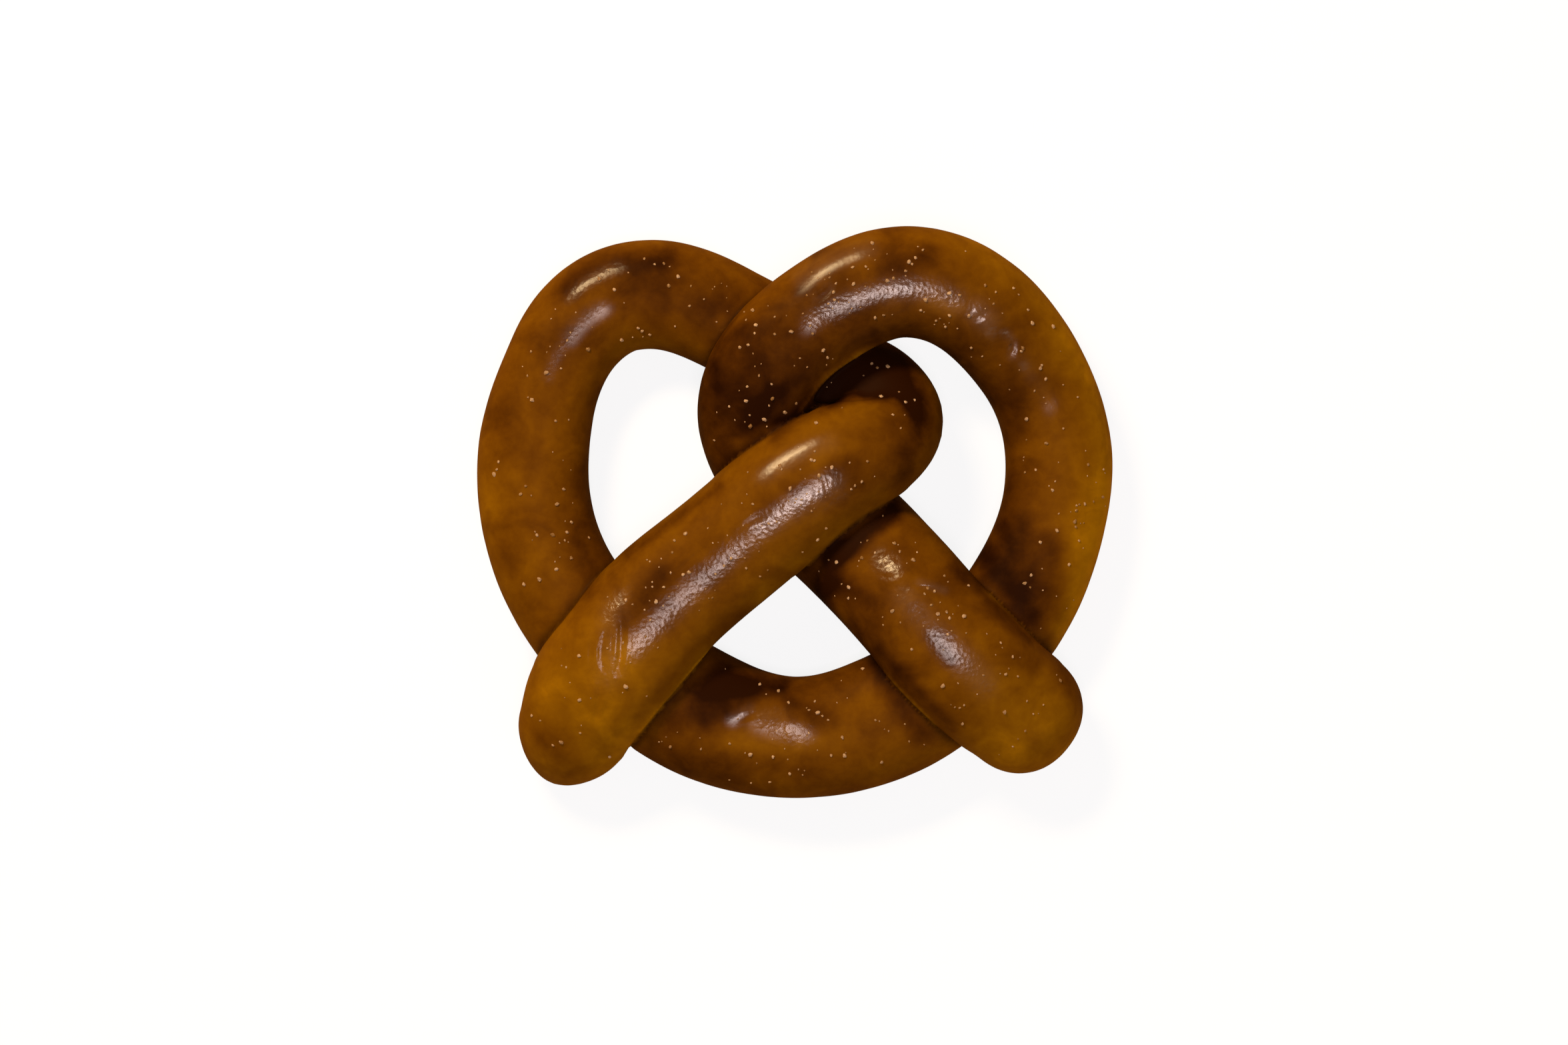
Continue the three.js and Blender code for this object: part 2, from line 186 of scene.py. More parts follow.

# Patches painted darker or lighter, seen from above: uneven baking, painted shade where other
# ropes shade the crust, painted light where the lamps leave the crust too dark, and thin painted
# highlights on edges over a seam. First and last station that it touches, then from x, y to x,
# y, sideways bow, half width, change of the darkness.
PATCHES = (
    # left lobe
    (13, 17, -45.5, 44, -36, 50, 1, 2.6, 0.22),
    (13, 16, -32, 49.5, -26, 50.5, 0, 3, 0.32),
    (17, 19, -58, 19, -54.5, 10, 0, 4, 0.16),
    (19, 21.4, -57, -8, -51.5, -20, -1, 3, 0.14),
    (19, 21, -43, -3, -41.5, -11, 0, 3, 0.18),
    (12.4, 13.8, -14.5, 37.5, -13.5, 33, 0, 1.8, -0.16),
    # left arm
    (-1, 1, -50, -45, -43, -52, 0.8, 3.2, 0.14),
    (1.4, 3, -41, -15, -35, -13, 0, 2.4, 0.18),
    (1, 3.2, -18.6, -25.6, -31, -40.6, 0, 1.6, 0.15),
    (2.6, 4.4, -17, -25, -8, -18.5, 0, 1.6, 0.20),
    (2, 4.5, -33, -21, -27, -12.5, 0, 2.6, 0.24),
    (3, 5, -25, -5, -18, -8, 0, 3, -0.10),
    (2.6, 5.6, -33, -8.4, -15, 5, 0, 1.1, 0.22),
    (1.6, 2.8, -33.5, -27.5, -31.5, -33, 0, 2.4, -0.16),
    (2.4, 3.6, -28, -20, -21, -15, 0, 2.4, 0.12),
    (3, 4.4, -18, -12, -12, -10, 0, 2.4, 0.12),
    # right lobe
    (31, 33, 20, 48, 25, 50, 0, 3, 0.26),
    (26, 29, 56.5, 24, 57, 9, 0, 3, 0.10),
    (28, 30, 42.5, 28, 44.5, 16, 0, 2.4, 0.16),
    (30.4, 32, 24, 41, 31, 40, 0.6, 1.8, -0.18),
    (32.4, 33.8, 4, 51, 11, 54.5, -0.5, 1.6, 0.20),
    # right arm
    (37.5, 40, 27.5, -25, 30.5, -28.5, 0, 2, 0.28),
    (36.8, 38.4, 9, -14, 14, -17, 0, 2.2, 0.22),
    (36.8, 38, 13, -5.5, 19, -3.5, 0, 2, -0.20),
    (36.8, 38.6, 21, -9, 29, -14, 0, 3, 0.12),
    (37.6, 38.9, 31, -10.5, 36, -14.5, 0, 1.6, 0.20),
    (37.6, 39.9, 16.5, -27, 31, -42.5, 0, 1.4, 0.17),
    (38.2, 39.9, 37.6, -17.8, 45.8, -25, 0, 1.3, 0.18),
    (38.8, 40.4, 41, -27, 46, -30, 0, 2.4, 0.15),
    (39, 41, 53, -29, 57.5, -38, -1, 2.4, 0.16),
    # twist
    (5.4, 9.8, -4, 15.5, 8, 21.5, 0.5, 1.6, 0.30),
    (4.6, 6.4, -5, 1, 2, 4.5, 0, 2.6, 0.12),
    (5.8, 8, 8, 8.5, 9.5, 3.5, 0, 2.6, 0.17),
    (6, 8.4, 11.5, 10, 12.5, 5.5, 0, 2.2, 0.15),
    (5.8, 7.8, 4, 10.5, 11, 12.5, 0, 2, -0.16),
    (32.6, 35.2, 4.5, 25.5, 15.5, 32, 1.2, 2, -0.24),
    (31.8, 34, 13, 30.5, 18, 33, 0, 1.8, -0.20),
    (33, 35, -1, 27, 5, 28, 0, 2, 0.10),
    (33.4, 35.6, -1.5, 20.5, 1.5, 24.5, 0, 1.6, -0.14),
    (33.8, 35.4, -9.5, 36, -8.5, 30, 0, 2.2, 0.12),
    (34.2, 35.6, -16.5, 29, -15, 24.5, 0, 1.8, 0.18),
    (34.4, 35.8, -11, 25, -8, 21.5, 0, 1.8, 0.14),
    (7, 9.6, 24.2, 15, 21.5, 6.5, -0.4, 2, 0.10),
    (7, 8.6, 19, 18, 20, 12, 0, 2.4, 0.14),
    (7.4, 10, 22.5, 21.5, 23.5, 14, 0.6, 2.6, 0.20),
    # in the shade of the right lobe's rope
    (9, 13, 2, 23.4, 18, 28.4, 2, 4.2, 0.90),
    (8.5, 13, 17.5, 26.5, 24.5, 18.5, 1.5, 3.4, 0.40),
    (6.5, 10, 7.5, 23, 17, 23.8, 0.4, 1.9, 0.75),
    (33.6, 36.4, -8.5, 18, -4, 23.5, 0, 1.8, 0.28),
    (34.8, 36.6, -11, 13.4, -4, 17, 0, 1.8, -0.24),
    # in the shade of the left arm
    (35, 38, 19, 0, 8.5, -8, 0.4, 2.3, 0.60),
    (36.4, 38.2, 8, -8, 6.5, -15, -0.6, 2.4, 0.40),
    (21, 24, -14, -34, -3, -34.6, 0, 2, 0.40),
    (21, 24, -10.5, -34.5, -16.5, -36.5, 0, 3.4, 0.36),
    (21, 24, -14, -39.5, -17.5, -41, 0, 2.6, 0.26),
    (21, 23.4, -14, -31, -24, -41, 0, 3, 0.26),
    # front arc
    (21, 23, -28, -47, -14, -50.5, -0.8, 3, 0.14),
    (22, 24.6, -14, -44.5, -2, -43.5, 0, 2.6, -0.16),
    (22, 24.6, -13, -45.5, 11, -44.5, -1, 2.2, -0.12),
    (22.4, 24, -1, -38, 5, -41, 0, 2.6, 0.22),
    (22.4, 23.6, -4, -50.5, 4, -51, 0, 2, 0.12),
    # in the shade of the right arm
    (25, 27.2, 51, -6, 51, -19, 0, 3, 0.32),
    (24.6, 27.2, 38.5, -9, 46, -20, 0, 3.4, 0.42),
    (25.6, 27.6, 41.5, -3, 43, -8, 0, 2, 0.24),
    (24.8, 27.4, 45.5, -3, 46.5, -14, 0, 2.6, 0.24),
    (24.4, 26, 48, -22, 50, -25, 0, 2, 0.38),
    (24.8, 27.2, 43, -7, 45, -20, 0, 3, 0.10),
    (23, 25, 16.5, -30, 25, -44, 0, 2.8, 0.32),
    # thin painted highlights on the edges over a seam
    (32.6, 35.4, 1.4, 20.3, 15.2, 32.3, 1.4, 0.55, -0.45),
    (0.8, 3.2, -17.2, -27.4, -30.4, -43.2, 0, 0.4, -0.34),
    (5.2, 7.8, 3.2, -10.4, 14.6, -1.2, 0, 0.45, -0.32),
    (38, 39.9, 17.5, -31.5, 27.5, -42, 0, 0.4, -0.40),
    (38, 39.9, 38.6, -16.2, 47.4, -24.4, 0, 0.5, -0.35),
)
PATCH_FADE = 0.5  # stations over which a patch begins and ends

# Creases in the skin, seen from above: from x, y to x, y, sideways bow, width, depth. A depth
# below zero is a raised edge.
CREASES = (
    # left arm, where it lies on the front arc
    (-34.2, -19.8, -34.8, -31.6, 0.5, 0.60, 0.55),
    (-36.9, -22.8, -37.6, -30.8, -0.6, 0.55, 0.48),
    (-39.4, -24.6, -40, -30, -0.3, 0.50, 0.32),
    (-38.2, -32.4, -39.6, -42, 0.3, 0.45, 0.24),
    # across the left arm
    (-11.2, -3.6, -5.4, -0.2, 0.4, 0.60, 0.22),
    (-24.8, -13.6, -17.6, -7, 0.3, 0.40, 0.18),
    # inside of the right lobe's shoulder
    (35.4, 37.6, 38.6, 39.6, 0.3, 0.55, 0.12),
    (41, 35.4, 42.2, 30.6, 1.3, 0.50, 0.34),
    (38.2, 33.4, 39.8, 30.8, 0.5, 0.40, 0.16),
    # right arm, below the twist
    (16.2, -9.4, 20.6, -9.4, 0.9, 0.45, 0.14),
    (16.2, -12, 20.6, -12.2, -0.7, 0.45, 0.16),
    (21.4, -14.4, 29.6, -16, 0.4, 0.45, 0.24),
    (24.6, -18, 27, -24, 0.4, 0.45, 0.14),
    # right lobe, and its raised edge over the twist
    (-3.2, 36, -1, 38.2, 0.5, 0.50, 0.16),
    (3.6, 41.4, 7.2, 44.4, -0.7, 0.50, 0.24),
    (1.2, 20.4, 15, 32.4, 1.4, 0.50, -0.30),
    # front arc
    (-11.4, -41.2, -6.4, -39.4, 0.3, 0.55, 0.18),
)
CREASE_ENDS = (0.04, 0.96)  # shares of its length past which a crease fades no further
CREASE_FADE = 0.6  # exponent of how it fades towards its ends
CREASE_UPWARD = 0.4  # it is whole where the crust's normal points up this much
CREASE_LIP = 0.55  # height of the lips beside it, of its depth
CREASE_LIP_AT = 1.7  # how far out they are, of its width
CREASE_LIP_WIDTH = 0.9  # of its width
LINE_POINTS = 24  # of a bowed line

# Where the crust shines, seen from above: from x, y to x, y, sideways bow, half width, shine,
# coarseness of the skin there.
SHINE = (
    # left lobe
    (-44.1, 43.1, -35.3, 49.2, 0.5, 1.4, 0.22, 0.5),
    (-44.8, 35, -38.6, 40.2, 0.6, 1.5, 0.50, 0.3),
    (-49, 27, -44.5, 35, 0.8, 1, 0.25, 0.3),
    # right lobe
    (1, 45.8, 14.6, 51.8, 0.8, 1.6, 0.50, 0.1),
    (3.4, 37.8, 17.9, 43.3, 0.9, 1.9, 0.70, 0.9),
    (3.8, 41.6, 7, 44.2, -0.7, 0.7, 0.35, 0.2),
    (17.9, 43.3, 31.4, 41.4, 1.2, 2.3, 0.80, 0.8),
    (35.6, 39.6, 37.6, 37.8, 0, 2.3, 0.9, 0.6),
    (41.2, 35.4, 42.6, 30.6, 1, 0.9, 0.5, 0.3),
    (44.5, 30.3, 46.6, 26.7, 0, 1.5, 0.20, 0.1),
    (48.1, 25.4, 50.5, 21.5, 0, 1.5, 0.12, 0.1),
    # left arm
    (-5.4, 7.4, 7, 13.4, 0.6, 1.7, 0.31, 0.1),
    (-32, -26.8, -6.9, -3.4, 0, 2.2, 0.55, 1),
    (-35.6, -19, -36.6, -32, 0, 2.6, 0.35, 0.8),
    (-6.9, -3.4, 7.4, 5.8, 0, 2, 1, 1),
    # right arm
    (17.6, -10, 19.6, -11, 0, 1.9, 0.35, 1),
    (24.4, -13.8, 29.2, -15.4, 0, 0.8, 0.70, 0.6),
    (21.6, -17.4, 36.4, -32.4, 0, 2.6, 0.55, 0.7),
    # front arc
    (-6.3, -41, 0.9, -43.6, 0, 1.8, 0.46, 0.8),
    (-12.2, -40.8, -8.8, -38.8, 0, 1, 0.6, 0.2),
)
COARSE_SPREAD = 1.6  # how much wider the coarse skin is than its shine

# Soft swellings and dents: station, angle round the rope in degrees, radius, height.
SWELLINGS = (
    (37.74, 83, 2.8, 0.36),
    (37.95, 88, 4.2, 0.55),
    (38.35, 92, 2.6, 0.20),
    (32.35, 140, 3.6, 0.32),
    (32.65, 140, 3.6, 0.26),
    (32.95, 140, 3.6, 0.32),
    (30.48, 80, 3.2, 0.36),
    (29.75, 82, 2, 0.34),
    (23, 68, 4.2, 0.60),
    (22.4, 74, 2.2, 0.20),
    (33.2, 74, 3, -0.18),
    (4.9, 84, 2.2, 0.25),
    (1.4, 92, 2.6, 0.22),
    (15.4, 118, 3.4, 0.20),
    (29, 92, 3, -0.20),
)

# The skin's soft waves: their size, share of the undulation, seed.
WAVES = (
    (9 * MM, 1.0, 1),
    (3.6 * MM, 0.30, 2),
    (1.7 * MM, 0.12, 3),
)
SEAM_WIDTH = 0.9 * MM  # of the groove where two stretches meet
SEAM_LIP = 0.5  # height of the upper one's lip, of the groove's depth
SEAM_LIP_AT = 2.4 * MM  # from the seam
SEAM_SHADE = 0.7  # how nearly black the painted shade in the seam is
SEAM_SHADE_WIDTH = 1.0 * MM
TRAY_FLAT = (1.2 * MM, 1.0 * MM)  # no waves near the tray: from this height, over this much
TRAY_PALE = (0.9 * MM, 0.6 * MM)  # and the crust pales there, likewise

# The darkness, from baking and from painted shade and light, at which the crust has each colour
# of its settings.
BAKE_AND_SHADE_STOPS = {"gold": 0.0, "amber": 0.22, "chestnut": 0.48, "umber": 0.74, "burnt_and_shade": 1.0}
GLOSS_UNEVEN = (-0.03, 0.05)  # around the crust's roughness
GLOSS_PATCHES = 260  # per metre
SKIN_GRAINS = 1500  # per metre
SKIN_PORES = 1100  # per metre
UNDERSIDE_DULL = 0.3  # roughness added where it lay on the tray
SKIN_COARSENESS = (0.15, 1.25)  # share of the grain's depth on smooth and on coarse skin
STAIN_UNEVEN = 0.6  # strength of the stains' mottle
MIX_INPUTS = (0, 6, 7)  # of a colour Mix node: factor and the two colours
MIX_RESULT = 2

# ---- the salt

# How thickly the rope is salted: from station, to station, share of the crystals per length.
SALTED_STRETCHES = (
    (0, 7, 1.0),
    (7, 12, 0.5),
    (12, 20, 0.6),
    (20, 22, 0.3),
    (22, 24, 1.0),
    (24, 27, 0.5),
    (27, 31, 0.8),
    (31, 36, 1.15),
    (36, 40, 1.2),
)
LARGE_CRYSTALS = 96  # the ones that the solid has too
LARGE_LENGTH = (1.0 * MM, 0.7 * MM)  # of the first and the last of them
CRYSTAL_WIDTH = 0.8  # of its length
CRYSTAL_HEIGHT = 0.6  # of its length
CRYSTAL_SUNK = 0.38  # share of its height that is in the crust
CRYSTAL_SPREAD = math.radians(62)  # how far from the rope's top crystals lie
CRYSTAL_LOWEST = 3 * MM  # no crystal lies lower
LARGE_SPACING = 2.2 * MM  # least, to any crystal before it
SMALL_SPACING = 0.6 * MM
CLUMP_SIZE = 3.6 * MM  # how far crystals of a clump lie apart along the rope
CLUMP_LEAN = math.radians(18)  # and round it
COVER_STEP = 2 * MM  # between the centres that a crystal's place is held against
COVER_MARGIN = 1.12  # how much larger another stretch is taken, to cover a place
WEAR = 0.45  # how far a crystal is worn out of round
WEAR_FINENESS = 1.3
WEAR_SHIFT = 40  # spread of the draws that make every crystal differ
DRAW_FACTOR = 16807  # of the repeatable draws
DRAW_RANGE = 2147483647

# ---- the stage

FLOOR_HALF = 3.0
FLOOR_BOUNCE = (0.9, 0.6, 0.3)  # colour of the light that it throws back
FLOOR_GLOW = 0.86  # to the camera alone, so that shadows on it stay open
STAGE_MIDDLE = (-0.0022, -0.0020, 0.0)
SENSOR_WIDTH = 36  # mm
SKY_SEEN = 0.9  # strength of the studio as the camera sees it
SKY_COLOUR = (1.0, 0.86, 0.66)

# Softboxes: name, place, size, colour, setting that holds the power.
SOFTBOXES = (
    ("cool_overhead", (0.03, -0.14, 1.10), (0.30, 0.24), (1.0, 0.81, 0.77), "overhead_power"),
    ("low_fill", (0.36, -0.50, 0.40), (0.40, 0.30), (1.0, 0.77, 0.58), "fill_power"),
    ("warm_key", (-0.25, 0.39, 0.45), (0.22, 0.10), (1.0, 0.72, 0.38), "warm_power"),
)


def natural_spline(knots, values):
    """Natural cubic spline: a function from places to value, first and second derivative."""
    last = len(knots) - 1
    gap = np.diff(knots)
    slope = np.diff(values) / gap
    second = np.zeros(last + 1)
    ratio = np.zeros(last + 1)
    for i in range(1, last):
        pivot = 2 * (gap[i - 1] + gap[i]) - gap[i - 1] * ratio[i - 1]
        ratio[i] = gap[i] / pivot
        second[i] = (6 * (slope[i] - slope[i - 1]) - gap[i - 1] * second[i - 1]) / pivot
    for i in range(last - 1, 0, -1):
        second[i] -= ratio[i] * second[i + 1]

    def at(place):
        i = np.clip(np.searchsorted(knots, place) - 1, 0, last - 1)
        t = place - knots[i]
        first = slope[i] - gap[i] * (2 * second[i] + second[i + 1]) / 6
        third = (second[i + 1] - second[i]) / gap[i]
        return (
            values[i] + t * (first + t * (second[i] / 2 + t * third / 6)),
            first + t * (second[i] + t * third / 2),
            second[i] + t * third,
        )

    return at


steps = np.hypot(*np.diff(ROUTE[:, :2], axis=0).T)
KNOTS = np.concatenate([[0], np.cumsum(steps)])
ROPE_END = KNOTS[-1]
route_x, route_y, route_rise, route_width = (
    natural_spline(KNOTS, ROUTE[:, column]) for column in range(4)
)


def unit(vectors):
    """Vectors of the same directions and of length 1."""
    return vectors / np.linalg.norm(vectors, axis=-1, keepdims=True)


def rope_at(place):
    """The rope at an array of places along it. Past either end it runs straight on."""
    place = np.atleast_1d(np.asarray(place, float))
    inside = np.clip(place, 0, ROPE_END)
    (x, dx, ddx), (y, dy, ddy), (rise, drise, _) = (
        route(inside) for route in (route_x, route_y, route_rise)
    )
    width = route_width(inside)[0]
    tangent = unit(np.stack([dx, dy, drise], axis=-1))
    side = unit(np.stack([-dy, dx, 0 * dx], axis=-1))
    centre = np.stack([x, y, rise], axis=-1) + tangent * (place - inside)[:, None]
    return SimpleNamespace(
        place=place,
        centre=centre,
        tangent=tangent,
        side=side,
        up=np.cross(tangent, side),
        bend=(dx * ddy - dy * ddx) / np.hypot(dx, dy) ** 3,
        half_width=width / 2,
        half_thickness=(THICKNESS_AT_NO_WIDTH + THICKNESS_PER_WIDTH * width) / 2,
    )


def place_of(station):
    """Place along the rope of a station, which may lie between two."""
    return np.interp(station, np.arange(len(KNOTS)), KNOTS)


def squeezed(sideways, bend):
    """Dough on the inside of a bend is squeezed so that it never reaches the bend's centre."""
    reach = PINCH / np.maximum(np.abs(bend), LEAST_BEND)
    start = PINCH_STARTS * reach
    room = reach - start
    out = np.abs(sideways)
    pinched = start + room * np.tanh((out - start) / room)
    inside = (sideways * bend > 0) & (out > start)
    return np.where(inside, np.sign(sideways) * pinched, sideways)


def crust_point(rope, angle, scale=1.0):
    """The crust at angles round the rope: 0 is its left side, a quarter turn is its top."""

    def oval(share):
        return np.sign(share) * np.abs(share) ** (2 / SECTION_FULLNESS)

    sideways = squeezed(oval(np.cos(angle)) * rope.half_width * scale, rope.bend)
    upwards = oval(np.sin(angle)) * rope.half_thickness * scale
    return rope.centre + rope.side * sideways[:, None] + rope.up * upwards[:, None]


# ---- meshes


def mesh_object(name, vertices, faces):
    """Makes a piece of the scene from its vertices and faces."""
    mesh = bpy.data.meshes.new(name)
    mesh.from_pydata([tuple(v) for v in vertices], [], [tuple(f) for f in faces])
    mesh.update()
    piece = bpy.data.objects.new(name, mesh)
    bpy.context.scene.collection.objects.link(piece)
    return piece


def cap_faces(ring, point, sides):
    """Triangles from a ring of vertices to one point."""
    return [(ring + i, ring + (i + 1) % sides, point) for i in range(sides)]


def tube_faces(rings, sides):
    """Faces of a closed tube of vertices: one at its start, its rings, and one at its end."""
    starts = [1 + i * sides for i in range(rings)]
    faces = [face[::-1] for face in cap_faces(starts[0], 0, sides)]
    for a, b in zip(starts, starts[1:]):
        for i in range(sides):
            j = (i + 1) % sides
            faces.append((a + i, a + j, b + j, b + i))
    return faces + cap_faces(starts[-1], 1 + rings * sides, sides)


def tip_rings(place, direction, length, fullness):
    """Places and shares of the section for the rings of a rounded rope end."""
    reach = np.sin(np.arange(1, DOME_RINGS + 1) / DOME_RINGS * math.pi / 2)
    share = np.maximum(1 - reach ** fullness, 0) ** (1 / fullness)
    return place + direction * length * reach, share


def span_mesh(start, end, first_tip, last_tip):
    """Closed skin of one span of the rope, as vertices and faces."""
    places = np.linspace(start, end, max(2, round((end - start) / RING_STEP)))
    if first_tip:
        head, head_share = tip_rings(start, -1, TIP_LENGTH[0], TIP_FULLNESS[0])
    else:
        head, head_share = [start], [0]
    if last_tip:
        tail, tail_share = tip_rings(end, 1, TIP_LENGTH[1], TIP_FULLNESS[1])
    else:
        tail, tail_share = [end], [0]
    shares = np.concatenate([head_share[::-1], np.ones(len(places)), tail_share])
    places = np.concatenate([head[::-1], places, tail])
    angles = np.arange(RING_SIDES) / RING_SIDES * math.tau
    vertices = [rope_at(places[:1]).centre]
    for place, share in zip(places[1:-1], shares[1:-1]):
        vertices.append(crust_point(rope_at(np.full(RING_SIDES, place)), angles, share))
    vertices.append(rope_at(places[-1:]).centre)
    return np.concatenate(vertices), tube_faces(len(places) - 2, RING_SIDES)


def ball_mesh(centre, half_width, half_height):
    """A flattened ball of dough, as vertices and faces."""
    polar = np.arange(1, BALL_SIDES // 2) / (BALL_SIDES // 2) * math.pi
    turn = np.arange(BALL_SIDES) / BALL_SIDES * math.tau
    down, round_it = np.meshgrid(polar, turn, indexing="ij")
    out = np.sin(down)
    rings = np.stack([np.cos(round_it) * out, np.sin(round_it) * out, np.cos(down)], axis=-1)
    vertices = np.concatenate([[(0, 0, 1)], rings.reshape(-1, 3), [(0, 0, -1)]])
    size = np.array([half_width, half_width, half_height]) * MM
    faces = [face[::-1] for face in tube_faces(len(polar), BALL_SIDES)]
    return vertices * size + np.array(centre) * MM, faces


def dough_skin():
    """All spans of the rope and the dough between them, flat where they meet the tray."""
    skins = []
    for a, b in zip(SPAN_STATIONS, SPAN_STATIONS[1:]):
        skins.append(span_mesh(KNOTS[a], KNOTS[b], a == 0, b == SPAN_STATIONS[-1]))
    for weld in WELDS:
        skins.append(ball_mesh(*weld))
    faces = []
    count = 0
    for points, corners in skins:
        faces += [tuple(i + count for i in face) for face in corners]
        count += len(points)
    vertices = np.concatenate([points for points, _ in skins])
    vertices[:, 2] = np.maximum(vertices[:, 2], 0)
    return mesh_object("pretzel_crust", vertices, faces)


def vectors_of(items, field):
    """One vector of each item of a mesh, such as the place of each vertex, as rows."""
    values = np.empty(len(items) * 3)
    items.foreach_get(field, values)
    return values.reshape(-1, 3)


def move_points(mesh, points):
    """Puts a mesh's vertices at new places."""
    mesh.vertices.foreach_set("co", points.ravel())
    mesh.update()


def fuse(piece, voxel):
    """One skin round all the overlapping bodies of a piece."""
    fusing = piece.modifiers.new("fuse", "REMESH")
    fusing.mode = "VOXEL"
    fusing.voxel_size = voxel
    fusing.use_smooth_shade = True
    graph = bpy.context.evaluated_depsgraph_get()
    fused = bpy.data.meshes.new_from_object(piece.evaluated_get(graph))
    piece.modifiers.clear()
    old = piece.data
    piece.data = fused
    bpy.data.meshes.remove(old)
    fused.name = piece.name


def relax(mesh):
    """Evens out a mesh without shrinking it: each round pulls in, then pushes out."""
    ends = np.empty(len(mesh.edges) * 2, int)
    mesh.edges.foreach_get("vertices", ends)
    a, b = ends.reshape(-1, 2).T
    count = len(mesh.vertices)
    degree = np.bincount(a, minlength=count) + np.bincount(b, minlength=count)
    points = vectors_of(mesh.vertices, "co")
    for _ in range(RELAX_ROUNDS):
        for factor in (RELAX_PULL, RELAX_PUSH):
            mean = np.empty_like(points)
            for axis in range(3):
                column = points[:, axis]
                total = np.bincount(a, column[b], count) + np.bincount(b, column[a], count)
                mean[:, axis] = total / degree
            points = points + factor * (mean - points)
    move_points(mesh, points)


def against_rope(points, rope):
    """How far points lie from the rope's centres: to the side, up, and counted in sections."""
    apart = points[:, None, :] - rope.centre
    sideways, along, upwards = (
        np.einsum("psk,sk->ps", apart, axis) for axis in (rope.side, rope.tangent, rope.up)
    )
    level = (sideways ** 2 + along ** 2) / rope.half_width ** 2
    return sideways, upwards, np.sqrt(level + (upwards / rope.half_thickness) ** 2)


def nearest_rope(points):
    """For each point: its place and angle on the rope, and how near another stretch comes."""
    rope = rope_at(np.arange(-TIP_LENGTH[0], ROPE_END + TIP_LENGTH[1], NEAREST_STEP))
    found = SimpleNamespace(
        **{name: np.empty(len(points)) for name in ("place", "angle", "gap", "above")}
    )
    for begin in range(0, len(points), NEAREST_BATCH):
        some = slice(begin, begin + NEAREST_BATCH)
        sideways, upwards, reach = against_rope(points[some], rope)
        own = np.argmin(reach, axis=1)
        rows = np.arange(len(own))
        place = rope.place[own]
        other = np.abs(rope.place - place[:, None]) > OWN_STRETCH
        rest = np.where(other, reach, np.inf)
        next_one = np.argmin(rest, axis=1)
        found.place[some] = place
        found.angle[some] = np.arctan2(
            upwards[rows, own] / rope.half_thickness[own],
            sideways[rows, own] / rope.half_width[own],
        )
        found.gap[some] = (rest[rows, next_one] - reach[rows, own]) * rope.half_width[own]
        found.above[some] = rope.centre[own, 2] - rope.centre[next_one, 2]
    return found


def spot(station, angle):
    """The undisturbed crust at a station and an angle in degrees."""
    return crust_point(rope_at(place_of(station)), np.radians(np.atleast_1d(angle)))


def bell(distance, width):
    """1 at no distance, falling to 0 over about twice a width."""
    return np.exp(-(distance / width) ** 2)


def noise_over(points, size, seed):
    """Smooth noise from about -1 to 1, with features of the given size."""
    shift = Vector([seed * step for step in NOISE_SHIFT])
    return np.array([noise.noise(Vector(p) / size + shift) for p in points])


def beside(points, line):
    """Distance of points from a bowed line, seen from above, and how far along it they lie."""
    from_x, from_y, to_x, to_y, bow = np.array(line) * MM
    share = np.linspace(0, 1, LINE_POINTS)[:, None]
    start, end = np.array([(from_x, from_y), (to_x, to_y)])
    across = np.array([from_y - to_y, to_x - from_x])
    across *= bow / np.linalg.norm(across)
    places = start + (end - start) * share + across * np.sin(share * math.pi)
    apart = np.linalg.norm(points[:, None, :2] - places, axis=2)
    near = np.argmin(apart, axis=1)
    return apart[np.arange(len(points)), near], share[near, 0]


def relief(points, normals, found, settings):
    """Height of the baked skin over the smooth rope, in metres, at every point."""
    facing_up = np.clip(normals[:, 2] / CREASE_UPWARD, 0, 1)
    height = np.zeros(len(points))
    for size, share, seed in WAVES:
        height += share * settings.undulation * noise_over(points, size, seed)
    for *line, width, depth in CREASES:
        distance, share = beside(points, line)
        fade = np.sin(np.clip(share, *CREASE_ENDS) * math.pi) ** CREASE_FADE
        furrow = -bell(distance, width * MM)
        lip_at = CREASE_LIP_AT * width * MM
        lips = CREASE_LIP * bell(distance - lip_at, CREASE_LIP_WIDTH * width * MM)
        height += depth * MM * fade * facing_up * (furrow + lips)
    for station, angle, radius, swell in SWELLINGS:
        distance = np.linalg.norm(points - spot(station, angle), axis=1)
        height += swell * MM * bell(distance, radius * MM)
    height -= settings.seam_depth * bell(found.gap, SEAM_WIDTH)
    lip = bell(found.gap - SEAM_LIP_AT, SEAM_WIDTH) * (found.above > 0)
    height += SEAM_LIP * settings.seam_depth * lip
    return height


def bake_and_shade_of(points, found):
    """How dark the crust is at every point, 0 gold to 1 nearly black: its baking, with painted
    shade and painted light.
    """
    station = np.interp(found.place, KNOTS, np.arange(len(KNOTS)))
    left, top, right = (np.interp(station, BAKE_AND_SHADE[:, 0], BAKE_AND_SHADE[:, i]) for i in (1, 2, 3))
    lean = np.cos(found.angle)
    side = np.where(lean > 0, left, right)
    share = np.clip(np.abs(lean) / BAKE_AND_SHADE_SIDE, 0, 1) ** BAKE_AND_SHADE_BLEND
    bake = top + (side - top) * share
    for first, last, *line, half_width, change in PATCHES:
        distance, _ = beside(points, line)
        here = np.clip((station - first) / PATCH_FADE, 0, 1)
        here *= np.clip((last - station) / PATCH_FADE, 0, 1)
        bake += change * here * bell(distance, half_width * MM)
    return bake


